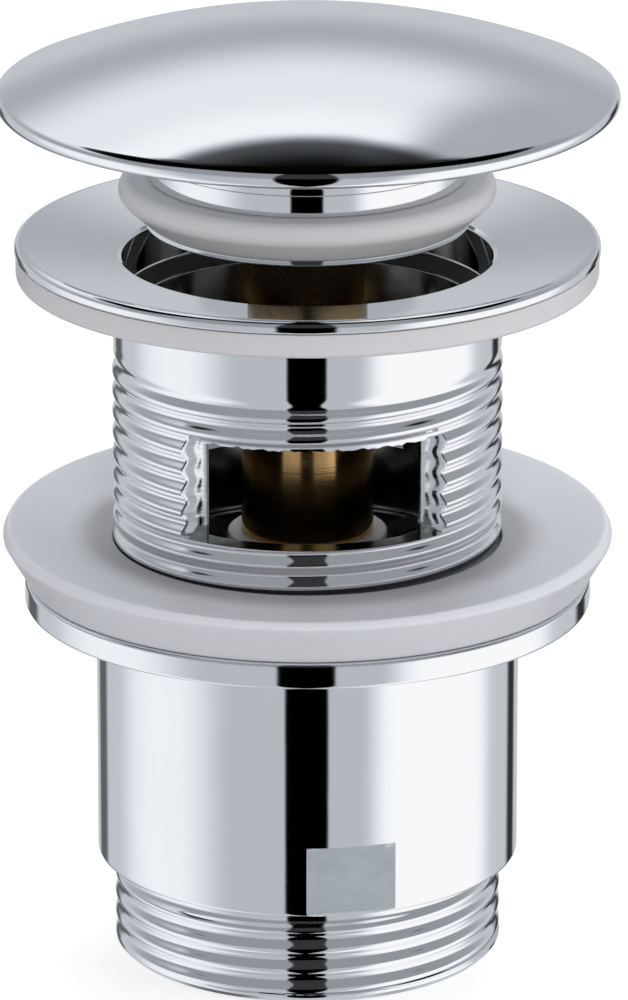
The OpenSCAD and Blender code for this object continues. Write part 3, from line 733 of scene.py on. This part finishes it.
def arm_points(turn, inner, outer, rows=12):
    """A bar along a spoke: a rounded rectangle carried outwards, closed at its ends by pulling the first and
    last loop to their middle."""
    half = ARM_W / 2
    corners = [(-half, BOSS_LOW), (half, BOSS_LOW), (half, LEDGE_Z), (-half, LEDGE_Z)]
    loop = rounded([(*corner, ARM_BEND) for corner in corners])
    middle = loop.mean(0)
    along = np.concatenate([[inner], np.linspace(inner, outer, rows), [outer]])
    share = np.ones((len(along), 1, 1))
    share[[0, -1]] = 0.0
    across = middle + (loop - middle) * share
    x, y, z = np.broadcast_arrays(along[:, None], across[..., 0], across[..., 1])
    c, s = math.cos(turn), math.sin(turn)
    return np.stack([x * c - y * s, x * s + y * c, z], 2).reshape(-1, 3), len(along), len(loop)


bars = [arm_points(math.radians(45 + 90 * k), BOSS_R - 0.5, LEDGE_R + 0.5) for k in range(4)]
bar_faces = grid_faces(bars[0][1], bars[0][2], False)
build("spider_arms", np.concatenate([bar[0] for bar in bars]),
      np.concatenate([bar_faces + k * len(bars[0][0]) for k in range(4)]),
      "waste_body", "upper_body", inside)

# %% [markdown]
# ## Gaskets
# The gasket under the flange is a wedge of silicone that fills the hollow there. The basin gasket is a
# shallow dish: its rim stands up and out, so that it bends down flat and seals when the tail is tightened.
# It is soft, and hangs a little askew on the tube: its rim dips towards the viewer while its hub and foot
# stay level.

# %% Gaskets
PAD_R, PAD_LOW, PAD_TOP = reach("flange_gasket")
DISH_R, DISH_LOW, DISH_TOP = reach("basin_gasket")
PAD_BORE = MAJOR_R + 0.15
pad_in = PAD_TOP - (PAD_R - PAD_BORE) * (PAD_TOP - SEAT_Z) / (PAD_R - NECK_R)
lathe("flange_gasket_moulded", rounded([
    (PAD_BORE, PAD_LOW, 0.15), (PAD_R + 0.05, PAD_LOW, 0.6), (PAD_R + 0.05, PAD_TOP - 0.03, 0.1),
    (PAD_BORE, pad_in - 0.05, 0.1)], steps=9), "waste_body", "flange_gasket", clear_ring)
DISH_HUB = 4.4
DISH_BASE_R = 30.2
DISH_BORE = MAJOR_R + 0.03
DISH_LEAN = 0.022
DISH_BEND_R = 25.2
DISH_BEND = 5.0
hub_z = DISH_LOW + DISH_HUB
dish_section = rounded([
    (DISH_BORE, DISH_LOW + 0.03, 0.2), (DISH_BASE_R, DISH_LOW + 0.03, 0.5),
    (DISH_R + 0.15, DISH_TOP - 1.1, 0.9), (DISH_R - 0.55, DISH_TOP + 0.12, 0.45),
    (DISH_BEND_R, hub_z, DISH_BEND), (DISH_BORE, hub_z, 0.12)], steps=10)
angles = round_about(180)
radius, height = dish_section[:, :1], dish_section[:, 1:]
share = np.clip((height - hub_z) / (DISH_TOP - hub_z), 0, 1)
height = height + DISH_LEAN * share * radius * np.sin(angles)
basin_gasket = build("basin_gasket_moulded", turned(radius, height, angles),
                     grid_faces(len(dish_section), angles.size, True),
                     "clamp_gasket", "basin_gasket", hub_shade_ring)
print("basin gasket box", [round(v / MM, 1) for v in basin_gasket.dimensions])

# %% [markdown]
# ## Tail
# The tail is a flanged cup that screws up the tube. Its wall is plain and mirror bright, with two spanner
# flats milled just above the shoulder, and the same pipe thread under it for the trap. A flat is a plane:
# on each column the radius is cut back to the plane's distance divided by the cosine of the angle from its
# middle.

# %% Tail
TAIL_R, FOOT_Z, TAIL_TOP = reach("tail_body")
WALL_R = 22.8
SHOULDER_Z = 10.6
TAIL_RIM_H = 2.9
rim_low = TAIL_TOP - TAIL_RIM_H
CUP_R = 21.0
CUP_FLOOR = 14.0
OUTLET_R = 17.8
RELIEF_R = 20.35
FLAT_HALF = 4.85
FLAT_TOP = SHOULDER_Z + 7.8
FLAT_MIDDLES = np.radians([-78.0, 102.0])
GUARD = 0.06
TAIL_PHASE = 2.1
CHAMFER = 0.7
SEAM_Z = 6.0
MALE_LOW = 1.0
MALE_ROWS = 77
MALE_FADE_L = 1.5
RELIEF_L = 2.4
RELIEF_STEP_L = 1.1
male_high = SHOULDER_Z - 1.3
flat_low = SHOULDER_Z + 0.6
foot = rounded([
    (OUTLET_R, SEAM_Z, 0), (OUTLET_R, FOOT_Z, 0.4), (MAJOR_R - CHAMFER, FOOT_Z, 0.2),
    (MAJOR_R, FOOT_Z + CHAMFER, 0.2), (MAJOR_R, MALE_LOW, 0)], closed=False)
male_z = np.linspace(MALE_LOW, male_high, MALE_ROWS + 1)[1:]
shoulder = rounded([
    (RELIEF_R, male_high, 0), (RELIEF_R, SHOULDER_Z, 0.25), (WALL_R, SHOULDER_Z, 0.45),
    (WALL_R, flat_low, 0)], closed=False)[1:-1]
flat_z = np.append(np.linspace(flat_low, FLAT_TOP - GUARD, 12), FLAT_TOP + GUARD)
wall_top = rounded([
    (WALL_R, FLAT_TOP + 2 * GUARD, 0), (WALL_R, rim_low, 0.5), (TAIL_R, rim_low, 0.45),
    (TAIL_R, TAIL_TOP, 0.45), (CUP_R, TAIL_TOP, 0.4), (CUP_R, CUP_FLOOR, 0.4), (OUTLET_R, CUP_FLOOR, 0.3),
    (OUTLET_R, SEAM_Z + 0.5, 0)], closed=False)
tail_section = np.concatenate([foot, upright(MAJOR_R, male_z), shoulder, upright(WALL_R, flat_z), wall_top])
radius, height = tail_section[:, :1], tail_section[:, 1:]
flat_edge = math.asin(FLAT_HALF / WALL_R)
beside = np.array([-1, 0, 1]) * GUARD / WALL_R
flat_ends = np.add.outer(FLAT_MIDDLES, np.add.outer([-flat_edge, flat_edge], beside)).ravel() % (2 * np.pi)
angles = np.unique(np.round(np.concatenate([round_about(240)[0], flat_ends]), 6))[None]
threaded = np.zeros((len(tail_section), 1))
threaded[len(foot):len(foot) + len(male_z)] = 1.0
fade = np.clip((male_high + 0.1 - height) / MALE_FADE_L, 0, 1)
to_relief = (MAJOR_R - RELIEF_R) * np.clip((height - SHOULDER_Z + RELIEF_L) / RELIEF_STEP_L, 0, 1)
radius = radius - threaded * (to_relief + groove(height, angles, TAIL_PHASE) * fade)


def from_flat(angles):
    """Angle to the middle of the nearer spanner flat."""
    off = np.ravel(angles) - FLAT_MIDDLES[:, None]
    return np.abs((off + np.pi) % (2 * np.pi) - np.pi).min(0)


off_middle = from_flat(angles)[None]
plane = math.sqrt(WALL_R**2 - FLAT_HALF**2) / np.cos(np.minimum(off_middle, flat_edge))
on_flat = (height > SHOULDER_Z - 0.2) & (height < FLAT_TOP) & (off_middle < flat_edge + 1e-6)
radius = np.where(on_flat, np.minimum(radius, plane), radius)
tail = build("tail_turned", turned(radius, height, angles), grid_faces(len(tail_section), angles.size, True),
             "tail", "tail_body", chrome)
face_r, face_turn, face_z = face_places(tail)
beside_flat = (face_z > SHOULDER_Z + 0.35) & (face_z < FLAT_TOP + 0.05)
on_flat = beside_flat & (from_flat(face_turn) < flat_edge) & (face_r > CUP_R + 1)
refinish(tail, on_flat, milled)
# The outlet and the wall of the cup inside the tail take the dark painted shade.
in_outlet = (face_r < OUTLET_R + 0.2) & (face_z > FOOT_Z + 0.6) & (face_z < TAIL_TOP - 0.6)
in_cup = (np.abs(face_r - CUP_R) < 0.05) & (face_z > SHOULDER_Z + 3)
refinish(tail, in_outlet | in_cup, inside)

# %% [markdown]
# ## Plunger
# The plunger is the brass post that shows between the plug and the flange. Below, hidden in its sleeve, it
# has a waist between two notched cams. The pins of the track ring run in that waist, and each press makes
# them climb from a notch of one cam into the next notch of the other. The cams' edges are rows whose height
# depends on the angle: a V that repeats eight times a turn.

# %% Plunger
POST_R, POST_LOW, POST_TOP = reach("plunger")
PIN_Z = sum(reach("track_pins")[1:]) / 2
TRAVEL = 5.96
PIN_ROOM = 1.05
NOTCHES = 8
NOTCH_H = 1.0
WAIST_R = 4.3
CAM_R = 5.15
POST_BORE = 3.3
post_shoulder = reach("snap_ring")[2] + TRAVEL + 0.2
post_roof = CORE_LOW - 5.5
angles = round_about(256)


def notch(angles, turn):
    """Height of a cam's edge over the root of its notches: a V, with a land between two of them."""
    step = 2 * np.pi / NOTCHES
    away = np.abs((angles / step + turn + 0.5) % 1.0 - 0.5) * step
    half_width = 0.9 * math.sin(step / 2) * WAIST_R
    return np.minimum(NOTCH_H * np.tan(away) * CAM_R / half_width, NOTCH_H)


low_cam = PIN_Z - PIN_ROOM + notch(angles[0], 0.0)
high_cam = PIN_Z + TRAVEL + PIN_ROOM - notch(angles[0], 0.5)
level = np.ones_like(low_cam)
guide = rounded([
    (0.0, POST_TOP, 0), (STUD_R - 0.4, POST_TOP, 0.3), (STUD_R, POST_TOP - 0.5, 0.3),
    (STUD_R, CORE_LOW, 0.15), (POST_R, CORE_LOW, 0.45), (POST_R, post_shoulder, 0.4),
    (CAM_R, post_shoulder, 0.1), (CAM_R, post_shoulder - 0.5, 0)], closed=False)
cam_r = np.array([CAM_R, WAIST_R, WAIST_R, CAM_R, CAM_R, POST_BORE, POST_BORE, 0.0])
cam_z = np.stack([high_cam, high_cam, low_cam, low_cam, POST_LOW * level, POST_LOW * level, post_roof * level,
                  post_roof * level])
radius = np.concatenate([guide[:, 0], cam_r])[:, None]
height = np.concatenate([guide[:, 1:] * level, cam_z])
build("plunger_turned", turned(radius, height, angles), grid_faces(len(radius), angles.size, False), "plug",
      "plunger", aged_brass)

# %% [markdown]
# ## Cartridge
# The sleeve is the brass barrel behind the overflow window. Its stub goes down through the spider's boss,
# and the last turns of the stub's finer thread stand out under the nut. The gland cap on top is knurled for
# fingers: its radius ripples round the turn. The nut's six flats are planes again, cut to a cone at the
# corners.

# %% Cartridge
SLEEVE_R, STUB_END, SLEEVE_TOP = reach("cartridge_sleeve")
CLIP_R, CLIP_LOW, CLIP_TOP = reach("snap_ring")
SLEEVE_BORE = POST_R + 0.05
SLEEVE_FLOOR = SLEEVE_FOOT + 1.1
STUB_PITCH = 1.5
STUB_DEPTH = 0.8
stub_top = BOSS_LOW + 0.6
stub_z = np.linspace(STUB_END + 0.6, stub_top, 90)
sleeve_section = np.concatenate([
    rounded([(0.0, STUB_END, 0), (STUB_R - 0.8, STUB_END, 0.15), (STUB_R, STUB_END + 0.6, 0)], closed=False),
    upright(STUB_R, stub_z),
    rounded([
        (STUB_R, BOSS_LOW + 0.8, 0), (STUB_R, SLEEVE_FOOT, 0.1), (SLEEVE_R, SLEEVE_FOOT, 0.35),
        (SLEEVE_R, SLEEVE_TOP, 0.2), (SLEEVE_BORE, SLEEVE_TOP, 0.15), (SLEEVE_BORE, CLIP_TOP + 0.05, 0.05),
        (CLIP_R + 0.05, CLIP_TOP + 0.05, 0.05), (CLIP_R + 0.05, CLIP_LOW - 0.05, 0.05),
        (SLEEVE_BORE, CLIP_LOW - 0.05, 0.05), (SLEEVE_BORE, SLEEVE_FLOOR, 0.3), (0.0, SLEEVE_FLOOR, 0)],
        closed=False)])
radius, height = sleeve_section[:, :1], sleeve_section[:, 1:]
angles = round_about(144)
cut = groove(height, angles, STUB_END, STUB_PITCH, STUB_DEPTH) * np.clip((stub_top - height) / 2, 0, 1)
radius = np.where((np.abs(radius - STUB_R) < 0.01) & (height < BOSS_LOW + 0.7), radius - cut, radius)
build("sleeve_turned", turned(radius, height, angles), grid_faces(len(sleeve_section), angles.size, False),
      "waste_body", "cartridge_sleeve", brass)
GLAND_R, GLAND_LOW, GLAND_TOP = reach("guide_cap")
gland_roof = GLAND_TOP - 1.0
gland_in = SLEEVE_R + 0.02
KNURLS = 40
KNURL_DEPTH = 0.12
gland_loop = rounded([
    (gland_in, GLAND_LOW, 0.15), (GLAND_R, GLAND_LOW, 0.2), (GLAND_R, GLAND_TOP, 0.3),
    (SLEEVE_BORE, GLAND_TOP, 0.2), (SLEEVE_BORE, gland_roof, 0.1), (gland_in, gland_roof, 0.1)])
angles = round_about(320)
knurl = KNURL_DEPTH * (0.5 + 0.5 * np.cos(KNURLS * angles)) * (gland_loop[:, :1] > GLAND_R - 0.02)
build("gland_cap_knurled", turned(gland_loop[:, :1] - knurl, gland_loop[:, 1:], angles),
      grid_faces(len(gland_loop), angles.size, True), "waste_body", "guide_cap", brass)
NUT_LOW, NUT_TOP = reach("lock_nut")[1:]
NUT_FLAT = 8.0
NUT_CONE = 1.7
angles = round_about(240)
hexagon = NUT_FLAT / np.cos((angles + np.pi / 6) % (np.pi / 3) - np.pi / 6)
nut_side = np.linspace(NUT_LOW, NUT_TOP, 24)
corner_cut = NUT_FLAT - 0.1 + NUT_CONE * np.minimum(nut_side - NUT_LOW, NUT_TOP - nut_side)[:, None]
nut_wall = np.minimum(hexagon, corner_cut)
nut_bore = np.full_like(angles, STUB_R + 0.02)
nut_r = np.concatenate([nut_bore, nut_wall, nut_bore])
nut_z = np.concatenate([[NUT_LOW], nut_side, [NUT_TOP]])[:, None]
build("lock_nut_hexagon", turned(nut_r, nut_z, angles), grid_faces(len(nut_z), angles.size, True),
      "waste_body", "lock_nut", brass, sharp=25.0)
lathe("seat_washer_moulded", rounded([
    (STUB_R + 0.03, BOSS_TOP, 0.1), (WASHER_R, BOSS_TOP, 0.2), (WASHER_R, SLEEVE_FOOT, 0.25),
    (STUB_R + 0.03, SLEEVE_FOOT, 0.1)]), "waste_body", "seat_washer", acetal, columns=96)

# %% [markdown]
# ## Return spring
# The spring stands on the sleeve's floor and pushes the plunger's roof. It is a round wire carried along a
# helix whose first and last turns lie flat. When the plug goes down it shortens.

# %% Spring
SPRING_R, SPRING_LOW, SPRING_TOP = reach("return_spring")
WIRE_R = 0.35
TURNS = 9
SIDES = 12
spring_l = SPRING_TOP - SPRING_LOW
along = np.linspace(0, TURNS, TURNS * 36 + 1)
turn_marks = [0, 1, TURNS - 1, TURNS]
wire_lifts = [WIRE_R, 3 * WIRE_R, spring_l - 3 * WIRE_R, spring_l - WIRE_R]
wire_z = SPRING_LOW + np.interp(along, turn_marks, wire_lifts)[:, None]
around = np.linspace(0, 2 * np.pi, SIDES, endpoint=False)[None]
thick = np.full((len(along), 1), WIRE_R)
thick[[0, -1]] = 0.0
coil_r = SPRING_R - WIRE_R + thick * np.cos(around)
coil = turned(coil_r, wire_z + thick * np.sin(around), 2 * np.pi * along[:, None])
spring = build("return_spring_coil", coil, grid_faces(len(along), SIDES, False), "waste_body",
               "return_spring", steel)
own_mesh(spring)

# %% [markdown]
# ## Pieces that stay as they are
# The track ring and its pins, the spacer, the snap ring, the lock washer and the black seals are hidden
# inside, and their solids are already right. They only change from the frame's grey to their own finish.

# %% Finishes for the kept solids
kept_nodes = {"track_ring": acetal, "ring_spacer": acetal, "track_pins": steel, "snap_ring": steel,
              "lock_washer": steel, "wiper_ring": rubber, "tail_seal": rubber}
for node, finish in kept_nodes.items():
    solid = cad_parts[node]
    solid.data.materials.clear()
    solid.data.materials.append(finish)
print("kept solids:", sorted(kept_nodes))

# %% [markdown]
# ## Table and tent
# A mirror shows its surroundings, so chrome is lit by what stands round it. Here that is a white tent with
# a bright panel on the right, a weaker one on the left, a pale back wall with two dark posts, a dark roof,
# and a narrow dark gap in front where the camera looks in. The gap is the black stripe down the middle of
# every turned wall. The tent is drawn by direction in the world, and only glossy rays see it. The matt
# pieces get even white light that is weaker from the front, where the tent is open.

# %% World
tent = bpy.data.worlds.new("white_tent")
scene.world = tent
tent.use_nodes = True
tent.node_tree.nodes.clear()
wire = Wire(tent.node_tree)
direction = wire.node("ShaderNodeTexCoord", out=0)
axes = wire.node("ShaderNodeSeparateXYZ", None, {"Vector": direction})
x, y, z = (Wire(wire.tree, axes.socket.node.outputs[k]) for k in range(3))
DEG = 180 / math.pi
front = wire.math("ARCTAN2", x, 0 - y) * DEG
rear = wire.math("ARCTAN2", x, y) * DEG
lift = wire.math("ARCSINE", z) * DEG
stand = 1 - lift.between(-8, 10)
right_panel = front.window(43, 107, 30) * stand * 0.53
left_panel = front.window(-106, -60, 40) * stand * 0.26
far_dim = (1 - rear.window(-62, 62, 30)) * 0.08
front_top = front.window(-120, 120, 30) * lift.between(-6, 14) * 0.13
back_low = rear.window(-80, 80, 40) * (0.11 - 0.08 * lift.between(4, 18))
back_panel = rear.window(-95, 14, 10) * (0.24 * lift.between(18, 38) + 0.12 * lift.between(42, 52))
droop = 18 * (1 - rear.window(-57, 57, 75)) - 22 * front.window(-62, 62, 36)
roof = (lift + droop).between(51.5, 55.6) * 0.8 + (lift + droop).between(55, 62) * 0.18
gap = front.window(-12, 11, 2.2) * (1 - 0.3 * lift.between(2, 12))
posts = (rear.window(-36, -20, 7) * 0.6 + rear.window(24, 37, 7) * 0.8) * (1 - lift.between(-6, 6))
tone = 0.41 + far_dim + right_panel + left_panel + back_low + back_panel - front_top
tone = tone * (1 - roof) * (1 - gap) * (1 - posts)
shadow = tone.between(0.0, 0.9).tint((0.0, 0.0, 0.0), (0.84, 0.89, 0.95))
shine = tone.between(0.45, 1.0).tint(shadow, (1.0, 1.0, 1.0))
rays = wire.node("ShaderNodeLightPath").socket.node.outputs
is_seen, is_glossy, is_through = (
    Wire(wire.tree, rays[name]) for name in ("Is Camera Ray", "Is Glossy Ray", "Is Transmission Ray"))
soft = front.window(-60, 60, 70).tint((0.76, 0.76, 0.77), (0.21, 0.21, 0.22))
even = wire.math("MAXIMUM", is_seen, is_through).tint(soft, (1.0, 1.0, 1.0))
backdrop = wire.node("ShaderNodeBackground", None, {"Color": is_glossy.tint(even, shine)})
wire.node("ShaderNodeOutputWorld", None, {"Surface": backdrop})
print("tent nodes:", len(wire.tree.nodes))

# %% [markdown]
# Four big soft lamps give the silicone its shape: strong ones on the right and behind, a weak one on the
# left, and a low one in front that reaches in through the window. They are kept out of the mirror, because
# the tent already shows its panels there. The table is white, takes the part's shadow, and is lifted to
# full white for the camera alone.

# %% Lamps and table


def soft_lamp(name, place, size, power):
    """A square lamp of the given size that looks at the middle of the part."""
    data = bpy.data.lights.new(name, "AREA")
    data.size = size
    data.energy = power
    lamp = bpy.data.objects.new(name, data)
    scene.collection.objects.link(lamp)
    lamp.location = place
    away = lamp.location.copy()
    away.z -= AIM_Z * MM
    lamp.rotation_euler = away.to_track_quat("Z", "Y").to_euler()
    lamp.visible_glossy = False
    return lamp


lamps = [soft_lamp("panel_right", (0.8, -0.3, 0.6), 0.7, 2.8),
         soft_lamp("panel_left", (-0.8, -0.3, 0.6), 0.7, 0.7),
         soft_lamp("panel_back", (0.1, 0.9, 0.75), 0.6, 3.2),
         soft_lamp("panel_front", (0.05, -0.9, 0.28), 0.4, 2.8)]
table_mesh = bpy.data.meshes.new("table")
table_mesh.from_pydata([(-4, -4, 0), (4, -4, 0), (4, 4, 0), (-4, 4, 0)], [], [(0, 1, 2, 3)])
table = bpy.data.objects.new("table", table_mesh)
scene.collection.objects.link(table)
table.visible_glossy = False
TABLE_GLOW = 0.58
paper, wire = finish_named("white_table")
shade = wire.node("ShaderNodeBsdfDiffuse", None, {"Color": (0.6, 0.6, 0.6, 1.0)})
seen = wire.node("ShaderNodeLightPath")
glow = wire.node("ShaderNodeEmission", None, {"Color": (1.0, 1.0, 1.0, 1.0), "Strength": seen * TABLE_GLOW})
both = wire.node("ShaderNodeAddShader", None, {0: shade, 1: glow})
wire.node("ShaderNodeOutputMaterial", None, {"Surface": both})
table_mesh.materials.append(paper)
print("lamps:", [lamp.name for lamp in lamps])

# %% [markdown]
# ## End

# %% Finish
print("end of the script")
